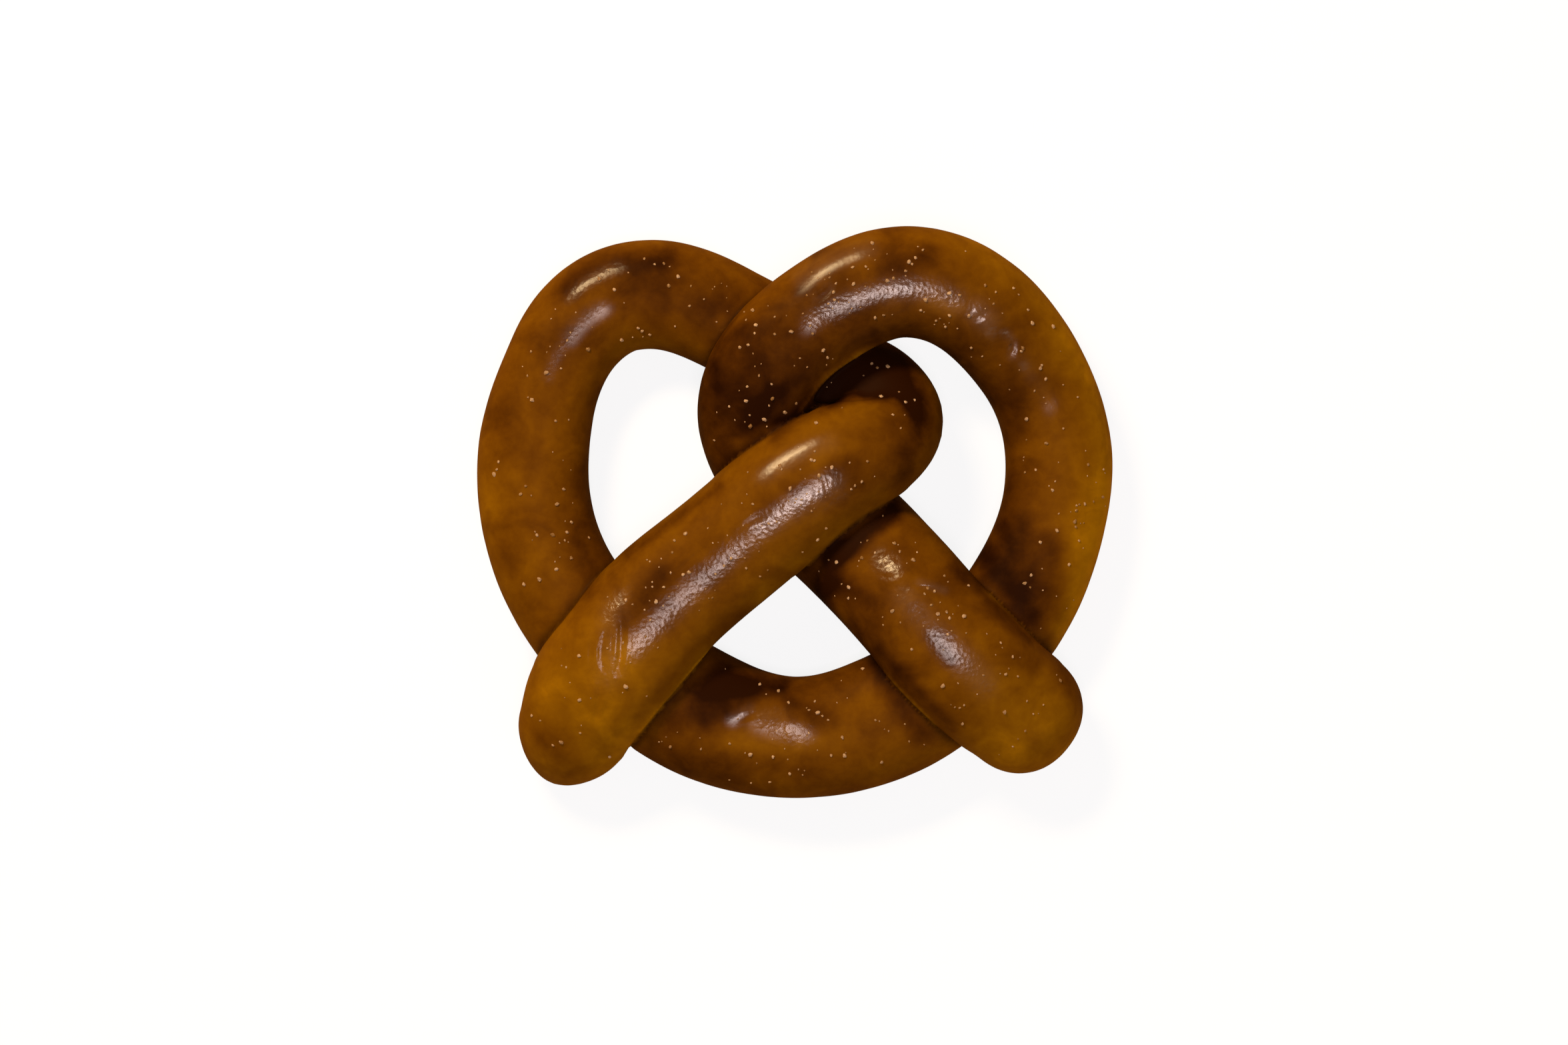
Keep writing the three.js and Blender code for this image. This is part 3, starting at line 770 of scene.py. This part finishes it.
def shine_of(points):
    """How much the crust shines at every point, and how coarse its skin is there."""
    shine = np.zeros(len(points))
    coarse = np.zeros(len(points))
    for *line, half_width, strength, coarseness in SHINE:
        distance, _ = beside(points, line)
        here = bell(distance, half_width * MM)
        shine = np.maximum(shine, strength * here)
        wider = bell(distance, COARSE_SPREAD * half_width * MM)
        coarse = np.maximum(coarse, coarseness * wider)
    return shine, coarse


def near_tray(points, height, depth):
    """How near the tray points lie: 0 from a height up, and 1 once they are a depth under it."""
    return np.clip((height - points[:, 2]) / depth, 0, 1)


def keep(mesh, name, values):
    """Stores one number for each vertex, for the materials."""
    stored = mesh.attributes.new(name, "FLOAT", "POINT")
    stored.data.foreach_set("value", np.asarray(values, np.float32))


# ---- materials


def feed(tree, socket, value):
    """Links a socket to an output of another node, or sets it to a plain value."""
    if isinstance(value, bpy.types.NodeSocket):
        tree.links.new(value, socket)
    else:
        socket.default_value = value


def feed_all(tree, made, **inputs):
    """Feeds a node. Names of inputs have _ for a space; the rest are the node's own settings."""
    for name, value in inputs.items():
        socket = name.replace("_", " ")
        if socket in made.inputs:
            feed(tree, made.inputs[socket], value)
        else:
            setattr(made, name, value)


def node(tree, kind, label, **inputs):
    """Adds a node and feeds it as feed_all does."""
    made = tree.nodes.new(kind)
    made.label = label
    feed_all(tree, made, **inputs)
    return made


def maths(tree, operation, label, a, b=0.0, clamp=False):
    """Adds a node that works with two values, and gives its result."""
    made = tree.nodes.new("ShaderNodeMath")
    made.operation = operation
    made.use_clamp = clamp
    made.label = label
    for socket, value in zip(made.inputs, (a, b)):
        feed(tree, socket, value)
    return made.outputs[0]


def blend_colours(tree, label, factor, a, b):
    """Adds a blend from colour a to colour b, and gives its result."""
    made = tree.nodes.new("ShaderNodeMix")
    made.data_type = "RGBA"
    made.label = label
    for index, value in zip(MIX_INPUTS, (factor, a, b)):
        feed(tree, made.inputs[index], value)
    return made.outputs[MIX_RESULT]


def attribute(tree, name):
    """The number that keep() stored at every vertex under a name."""
    return node(tree, "ShaderNodeAttribute", name, attribute_name=name).outputs["Fac"]


def opaque(colour):
    """A colour with full opacity, as shader sockets take it."""
    return (*colour, 1.0)


def new_material(name):
    """A material with its nodes and its shader, to be wired."""
    material = bpy.data.materials.new(name)
    material.use_nodes = True
    tree = material.node_tree
    return material, tree, tree.nodes["Principled BSDF"]


def oven_mottle():
    """Node group: how unevenly heat caught a surface, coarse and fine, centred on zero."""
    group = bpy.data.node_groups.get("Oven mottle")
    if group is not None:
        return group
    group = bpy.data.node_groups.new("Oven mottle", "ShaderNodeTree")
    face = group.interface
    for name, value in (
        ("Coarse Size", 11 * MM),
        ("Fine Size", 2.4 * MM),
        ("Fine Share", 0.4),
    ):
        made = face.new_socket(name=name, in_out="INPUT", socket_type="NodeSocketFloat")
        made.default_value = value
    face.new_socket(name="Mottle", in_out="OUTPUT", socket_type="NodeSocketFloat")
    inside = group.nodes.new("NodeGroupInput")
    outside = group.nodes.new("NodeGroupOutput")
    where = group.nodes.new("ShaderNodeTexCoord").outputs["Object"]
    levels = []
    for size, detail, roughness, distortion in (
        ("Coarse", 3.0, 0.5, 0.7),
        ("Fine", 4.0, 0.6, 0.3),
    ):
        scale = maths(group, "DIVIDE", f"{size} scale", 1.0, inside.outputs[f"{size} Size"])
        patches = node(
            group, "ShaderNodeTexNoise", f"{size} patches",
            Vector=where, Scale=scale, Detail=detail, Roughness=roughness,
            Distortion=distortion,
        )
        levels.append(maths(group, "SUBTRACT", "centre", patches.outputs["Fac"], 0.5))
    fine_part = maths(group, "MULTIPLY", "fine part", levels[1], inside.outputs["Fine Share"])
    total = maths(group, "ADD", "mottle", levels[0], fine_part)
    group.links.new(total, outside.inputs["Mottle"])
    return group


def crust_material(settings):
    """Glossy lye crust: gold to nearly black by its baking and by painted shade and light, with
    painted shade in the seams, dull underneath.
    """
    material, tree, shader = new_material("baked_crust")
    where = tree.nodes.new("ShaderNodeTexCoord").outputs["Object"]
    bake, seam, tray, shine, coarse = (
        attribute(tree, name) for name in ("bake", "seam", "tray", "shine", "coarse")
    )

    patches = node(
        tree, "ShaderNodeGroup", "crust mottle",
        node_tree=oven_mottle(), Coarse_Size=10 * MM, Fine_Size=2.1 * MM,
    )
    uneven = maths(
        tree, "MULTIPLY", "mottle strength", patches.outputs["Mottle"], settings.mottle
    )
    level = maths(tree, "ADD", "bake with mottle", bake, uneven)

    ramp = tree.nodes.new("ShaderNodeValToRGB")
    ramp.label = "gold to burnt"
    ramp.color_ramp.interpolation = "B_SPLINE"
    elements = ramp.color_ramp.elements
    while len(elements) < len(BAKE_AND_SHADE_STOPS):
        elements.new(0.5)
    for element, (name, position) in zip(elements, BAKE_AND_SHADE_STOPS.items()):
        element.position = position
        element.color = opaque(getattr(settings, name))
    feed(tree, ramp.inputs["Fac"], level)
    colour = ramp.outputs["Color"]
    # painted shade in the seams, where two stretches meet
    colour = blend_colours(tree, "dark seams", seam, colour, opaque(settings.burnt_and_shade))
    colour = blend_colours(tree, "pale underside", tray, colour, opaque(settings.underside))

    dull = node(
        tree, "ShaderNodeTexNoise", "uneven gloss", Vector=where, Scale=GLOSS_PATCHES, Detail=2.0
    )
    gloss = node(
        tree, "ShaderNodeMapRange", "gloss", Value=dull.outputs["Fac"],
        From_Min=0.3, From_Max=0.7,
        To_Min=settings.roughness + GLOSS_UNEVEN[0], To_Max=settings.roughness + GLOSS_UNEVEN[1],
    )
    underneath = maths(tree, "MULTIPLY", "dull underside", tray, UNDERSIDE_DULL)
    rough = maths(tree, "ADD", "roughness", gloss.outputs["Result"], underneath)
    glaze = maths(tree, "MULTIPLY", "glaze", shine, settings.glaze, clamp=True)

    skin = node(
        tree, "ShaderNodeTexNoise", "skin grain",
        Vector=where, Scale=SKIN_GRAINS, Detail=3.0, Roughness=0.6,
    )
    cells = node(
        tree, "ShaderNodeTexVoronoi", "skin pores",
        Vector=where, Scale=SKIN_PORES, feature="SMOOTH_F1", Smoothness=0.4,
    )
    grain = maths(tree, "ADD", "grain", skin.outputs["Fac"], cells.outputs["Distance"])
    coarser = node(
        tree, "ShaderNodeMapRange", "coarser skin",
        Value=coarse, To_Min=SKIN_COARSENESS[0], To_Max=SKIN_COARSENESS[1],
    )
    height = maths(tree, "MULTIPLY", "grain height", grain, coarser.outputs["Result"])
    bump = node(
        tree, "ShaderNodeBump", "skin bump",
        Strength=1.0, Distance=settings.grain, Height=height,
    )
    feed_all(
        tree, shader, Base_Color=colour, Roughness=rough, Specular_IOR_Level=0.02,
        Coat_Weight=glaze, Coat_Roughness=0.22, Coat_IOR=2.0,
        Normal=bump.outputs["Normal"], Coat_Normal=bump.outputs["Normal"],
    )
    return material


def salt_material(settings):
    """Coarse salt that has picked up some of the crust's colour in the oven."""
    material, tree, shader = new_material("salt_crystal")
    stained = attribute(tree, "stain")
    patches = node(
        tree, "ShaderNodeGroup", "stains",
        node_tree=oven_mottle(), Coarse_Size=1.2 * MM, Fine_Size=0.3 * MM,
    )
    uneven = maths(tree, "MULTIPLY", "stain strength", patches.outputs["Mottle"], STAIN_UNEVEN)
    level = maths(tree, "ADD", "stain", stained, uneven, clamp=True)
    colour = blend_colours(
        tree, "salt colour", level, opaque(settings.colour), opaque(settings.stained)
    )
    feed_all(tree, shader, Base_Color=colour, Roughness=0.32)
    return material


def floor_material(settings):
    """Plain pale paper that throws little light back at what stands on it."""
    material, tree, shader = new_material("pale_floor")
    seen = tree.nodes.new("ShaderNodeLightPath").outputs["Is Camera Ray"]
    dim = opaque(settings.bounce * tint for tint in FLOOR_BOUNCE)
    colour = blend_colours(tree, "less bounce", seen, dim, opaque(settings.floor))
    glow = blend_colours(tree, "open shadows", seen, opaque((0, 0, 0)), opaque((1, 1, 1)))
    feed_all(
        tree, shader, Base_Color=colour, Roughness=0.9, Specular_IOR_Level=0.0,
        Emission_Color=glow, Emission_Strength=FLOOR_GLOW,
    )
    return material


# ---- the salt's scatter


class SaltDraw:
    """Repeatable draws between 0 and 1."""

    def __init__(self, seed):
        self.state = seed

    def next(self):
        self.state = self.state * DRAW_FACTOR % DRAW_RANGE
        return self.state / DRAW_RANGE


def salted_place(draw):
    """A place along the rope, drawn by how thickly each stretch is salted."""
    weights = [share * (KNOTS[b] - KNOTS[a]) for a, b, share in SALTED_STRETCHES]
    left = draw.next() * sum(weights)
    i = 0
    while i < len(weights) - 1 and left > weights[i]:
        left -= weights[i]
        i += 1
    start, _, share = SALTED_STRETCHES[i]
    return KNOTS[start] + left / share


def covered(point, own_place, rope):
    """Is this point of the crust covered by another stretch of the rope?"""
    _, _, reach = against_rope(point[None], rope)
    other = np.abs(rope.place - own_place) > OWN_STRETCH
    return bool(np.any(other & (reach < COVER_MARGIN)))


def salted_spots(settings):
    """Point, crystal length and turn of every crystal, the largest first."""
    draw = SaltDraw(settings.seed)
    rope = rope_at(np.arange(0, ROPE_END + COVER_STEP / 2, COVER_STEP))
    spots = []
    laid = []
    points = np.empty((0, 3))
    while len(spots) < settings.count:
        large = len(spots) < LARGE_CRYSTALS
        if large or draw.next() > settings.clumping:
            place = salted_place(draw)
            lean = CRYSTAL_SPREAD * (draw.next() + draw.next() - 1)
        else:
            near_place, near_lean = laid[int(draw.next() * len(laid))]
            place = near_place + CLUMP_SIZE * (draw.next() + draw.next() - 1)
            lean = near_lean + CLUMP_LEAN * (draw.next() + draw.next() - 1)
        turn = draw.next() * math.pi
        here = rope_at(place)
        point = crust_point(here, np.array([math.pi / 2 + lean]))[0]
        spacing = LARGE_SPACING if large else SMALL_SPACING
        crowded = len(points) and np.min(np.linalg.norm(points - point, axis=1)) < spacing
        if point[2] < CRYSTAL_LOWEST or crowded or covered(point, place, rope):
            continue
        if large:
            share = len(spots) / LARGE_CRYSTALS
            length = LARGE_LENGTH[0] + (LARGE_LENGTH[1] - LARGE_LENGTH[0]) * share
        else:
            share = (len(spots) - LARGE_CRYSTALS) / (settings.count - LARGE_CRYSTALS)
            length = settings.smallest + (LARGE_LENGTH[1] - settings.smallest) * (1 - share) ** 2
        spots.append((point, length, turn))
        laid.append((place, lean))
        points = np.vstack([points, point])
    return spots


def grain_shape():
    """The small ball that every crystal is worn down from: its vertices and faces."""
    ball = bpy.data.meshes.new("grain")
    work = bmesh.new()
    bmesh.ops.create_icosphere(work, subdivisions=2, radius=1.0)
    work.to_mesh(ball)
    work.free()
    vertices = vectors_of(ball.vertices, "co")
    faces = [tuple(polygon.vertices) for polygon in ball.polygons]
    bpy.data.meshes.remove(ball)
    return vertices, faces


# ---- settings


def number_setting(name, description, default, **limits):
    """A number that a user can change, with its limits and its unit or subtype."""
    return FloatProperty(name=name, description=description, default=default, **limits)


def length_setting(name, description, default):
    """A length that a user can change."""
    return number_setting(name, description, default, unit="LENGTH", precision=5)


def share_setting(name, description, default, least=0.0, most=1.0):
    """A share or a strength that a user can change."""
    return number_setting(name, description, default, min=least, max=most, subtype="FACTOR")


def power_setting(name, description, default):
    """The power of a lamp, which a user can change."""
    return number_setting(name, description, default, min=0.0, unit="POWER")


def colour_setting(name, description, default):
    """A colour that a user can change."""
    return FloatVectorProperty(
        name=name, description=description, default=default, subtype="COLOR",
        min=0.0, max=1.0,
    )


class PretzelCrustSettings(bpy.types.PropertyGroup):
    voxel: length_setting("Mesh step", "Size of the crust's faces", 0.66 * MM)
    undulation: length_setting("Undulation", "Depth of the skin's soft waves", 0.07 * MM)
    seam_depth: length_setting("Seam depth", "Groove where two stretches meet", 0.35 * MM)
    grain: length_setting("Grain", "Depth of the fine skin grain", 0.05 * MM)
    mottle: number_setting("Mottle", "How unevenly the crust is baked", 0.55, min=0.0)
    roughness: share_setting("Roughness", "Of the crust under its glaze", 0.48, 0.1, 0.9)
    glaze: number_setting("Glaze", "Strength of the glaze on shiny crust", 1.0, min=0.0)
    gold: colour_setting("Gold", "Least baked crust", (0.60, 0.270, 0.0016))
    amber: colour_setting("Amber", "Lightly baked crust", (0.325, 0.135, 0.0012))
    chestnut: colour_setting("Chestnut", "Mostly baked crust", (0.198, 0.068, 0.0010))
    umber: colour_setting("Umber", "Well baked crust", (0.080, 0.0225, 0.0008))
    # the darkest crust, and the colour of painted shade in the seams and under other ropes
    burnt_and_shade: colour_setting("Burnt", "Darkest crust", (0.014, 0.0032, 0.0006))
    underside: colour_setting("Underside", "Where it lay on the tray", (0.20, 0.085, 0.02))


class PretzelSaltSettings(bpy.types.PropertyGroup):
    count: IntProperty(
        name="Count", description="Number of crystals", default=520, min=LARGE_CRYSTALS + 1
    )
    clumping: share_setting("Clumping", "Share of small crystals in clumps", 0.3, most=0.9)
    seed: IntProperty(name="Seed", description="First number of the draws", default=4711)
    smallest: length_setting("Smallest", "Length of the last crystal", 0.3 * MM)
    colour: colour_setting("Colour", "Clean salt", (0.68, 0.45, 0.27))
    stained: colour_setting("Stained", "Salt browned by the oven", (0.34, 0.17, 0.05))


class PretzelStageSettings(bpy.types.PropertyGroup):
    floor: colour_setting("Floor", "Colour of the floor", (0.24, 0.26, 0.30))
    bounce: share_setting("Bounce", "Share of the light that the floor throws back", 0.75)
    camera_height: length_setting("Camera height", "Height above the floor", 1.0)
    lens: number_setting("Lens", "Focal length", 114.4, min=10.0, unit="CAMERA")
    overhead_power: power_setting("Overhead power", "Power of the cool softbox", 2.7)
    warm_power: power_setting("Warm power", "Power of the warm softbox", 2.9)
    fill_power: power_setting("Fill power", "Power of the low softbox", 0.5)
    ambience: number_setting("Ambience", "Light from all around", 0.14, min=0.0)


# ---- operators


class PRETZEL_OT_crust(bpy.types.Operator):
    """Make the baked crust in place of the plain solid"""

    bl_idname = "pretzel.crust"
    bl_label = "Bake the crust"

    def execute(self, context):
        settings = context.scene.pretzel_crust
        crust = dough_skin()
        fuse(crust, settings.voxel)
        mesh = crust.data
        relax(mesh)
        points = vectors_of(mesh.vertices, "co")
        if len(points) < FEWEST_POINTS:
            raise RuntimeError("the crust's skin came out empty")
        found = nearest_rope(points)
        normals = vectors_of(mesh.vertex_normals, "vector")
        height = relief(points, normals, found, settings)
        height *= 1 - near_tray(points, *TRAY_FLAT)
        moved = points + normals * height[:, None]
        moved[:, 2] = np.maximum(moved[:, 2], 0)
        move_points(mesh, moved)
        # how dark the crust is: its baking, with painted shade and painted light
        keep(mesh, "bake", bake_and_shade_of(points, found))
        shine, coarse = shine_of(points)
        keep(mesh, "shine", shine)
        keep(mesh, "coarse", coarse)
        # painted shade in the seams
        keep(mesh, "seam", SEAM_SHADE * bell(found.gap, SEAM_SHADE_WIDTH))
        keep(mesh, "tray", near_tray(points, *TRAY_PALE))
        mesh.shade_smooth()
        mesh.materials.clear()
        mesh.materials.append(crust_material(settings))
        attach(crust, "root")
        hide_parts("pretzel")
        return {"FINISHED"}


class PRETZEL_OT_salt(bpy.types.Operator):
    """Scatter the salt crystals over the crust"""

    bl_idname = "pretzel.salt"
    bl_label = "Scatter the salt"

    def execute(self, context):
        settings = context.scene.pretzel_salt
        crust = bpy.data.objects.get("pretzel_crust")
        if crust is None:
            raise RuntimeError("bake the crust first: the salt sits on it")
        mesh = crust.data
        tree = bvhtree.BVHTree.FromPolygons(
            [v.co for v in mesh.vertices], [tuple(p.vertices) for p in mesh.polygons]
        )
        shape, faces = grain_shape()
        rough = SaltDraw(settings.seed + 1)
        vertices = []
        corners = []
        stains = []
        for point, length, turn in salted_spots(settings):
            where, normal, _, _ = tree.find_nearest(Vector(point))
            height = CRYSTAL_HEIGHT * length
            size = np.array([length, CRYSTAL_WIDTH * length, height]) / 2
            shift = Vector((rough.next(), rough.next(), rough.next())) * WEAR_SHIFT
            worn = [1 + WEAR * noise.noise(Vector(v) * WEAR_FINENESS + shift) for v in shape]
            grain = shape * np.array(worn)[:, None] * size
            lay = normal.to_track_quat("Z", "Y").to_matrix() @ Matrix.Rotation(turn, 3, "Z")
            middle = where + normal * ((0.5 - CRYSTAL_SUNK) * height)
            placed = grain @ np.array(lay).T + np.array(middle)
            corners += [tuple(i + len(vertices) for i in face) for face in faces]
            vertices += [tuple(v) for v in placed]
            stains += [rough.next()] * len(placed)
        salt = mesh_object("salt_crystals", vertices, corners)
        keep(salt.data, "stain", stains)
        salt.data.materials.append(salt_material(settings))
        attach(salt, "root")
        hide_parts("pretzel")
        return {"FINISHED"}


def softbox(name, place, size, power, colour):
    """A flat area light at a place, facing the middle of the stage."""
    data = bpy.data.lights.new(name, "AREA")
    data.shape = "RECTANGLE"
    data.size, data.size_y = size
    data.energy = power
    data.color = colour
    lamp = bpy.data.objects.new(name, data)
    lamp.location = place
    away = Vector(place) - Vector(STAGE_MIDDLE)
    lamp.rotation_euler = away.to_track_quat("Z", "Y").to_euler()
    bpy.context.scene.collection.objects.link(lamp)


class PRETZEL_OT_stage(bpy.types.Operator):
    """Set out the floor, the lights and the camera"""

    bl_idname = "pretzel.stage"
    bl_label = "Set the stage"

    def execute(self, context):
        settings = context.scene.pretzel_stage
        corners = [(-1, -1, 0), (1, -1, 0), (1, 1, 0), (-1, 1, 0)]
        floor = mesh_object("floor", np.array(corners) * FLOOR_HALF, [(0, 1, 2, 3)])
        floor.data.materials.append(floor_material(settings))
        for name, place, size, colour, power in SOFTBOXES:
            softbox(name, place, size, getattr(settings, power), colour)
        data = bpy.data.cameras.new("camera")
        data.lens = settings.lens
        data.sensor_width = SENSOR_WIDTH
        camera = bpy.data.objects.new("camera", data)
        camera.location = (*STAGE_MIDDLE[:2], settings.camera_height)
        context.scene.collection.objects.link(camera)
        context.scene.camera = camera
        world = bpy.data.worlds.new("studio")
        world.use_nodes = True
        seen = world.node_tree.nodes.new("ShaderNodeLightPath").outputs["Is Camera Ray"]
        strength = node(
            world.node_tree, "ShaderNodeMapRange", "pale to the camera",
            Value=seen, To_Min=settings.ambience, To_Max=SKY_SEEN,
        )
        feed_all(
            world.node_tree, world.node_tree.nodes["Background"],
            Color=opaque(SKY_COLOUR), Strength=strength.outputs["Result"],
        )
        context.scene.world = world
        context.scene.view_settings.view_transform = "Standard"
        return {"FINISHED"}


class PRETZEL_PT_panel(bpy.types.Panel):
    """Everything that makes up the pretzel, in order"""

    bl_idname = "PRETZEL_PT_panel"
    bl_label = "Soft Pretzel"
    bl_space_type = "VIEW_3D"
    bl_region_type = "UI"
    bl_category = "Pretzel"

    def draw(self, context):
        for name in SETTINGS:
            box = self.layout.box()
            box.operator(name.replace("_", "."))
            settings = getattr(context.scene, name)
            for setting in settings.bl_rna.properties.keys():
                if setting not in {"rna_type", "name"}:
                    box.prop(settings, setting)


# Where a scene holds the settings of each operator, which is named after them.
SETTINGS = {
    "pretzel_crust": PretzelCrustSettings,
    "pretzel_salt": PretzelSaltSettings,
    "pretzel_stage": PretzelStageSettings,
}
CLASSES = (
    *SETTINGS.values(),
    PRETZEL_OT_crust,
    PRETZEL_OT_salt,
    PRETZEL_OT_stage,
    PRETZEL_PT_panel,
)


def register():
    """Makes the settings, the operators and the panel known."""
    for made in CLASSES:
        bpy.utils.register_class(made)
    for name, group in SETTINGS.items():
        setattr(bpy.types.Scene, name, PointerProperty(type=group))


def unregister():
    """Takes them away again."""
    for name in SETTINGS:
        delattr(bpy.types.Scene, name)
    for made in reversed(CLASSES):
        bpy.utils.unregister_class(made)


def main():
    """Makes the whole scene."""
    register()
    bpy.ops.pretzel.crust()
    bpy.ops.pretzel.salt()
    bpy.ops.pretzel.stage()


if __name__ == "__main__":
    main()
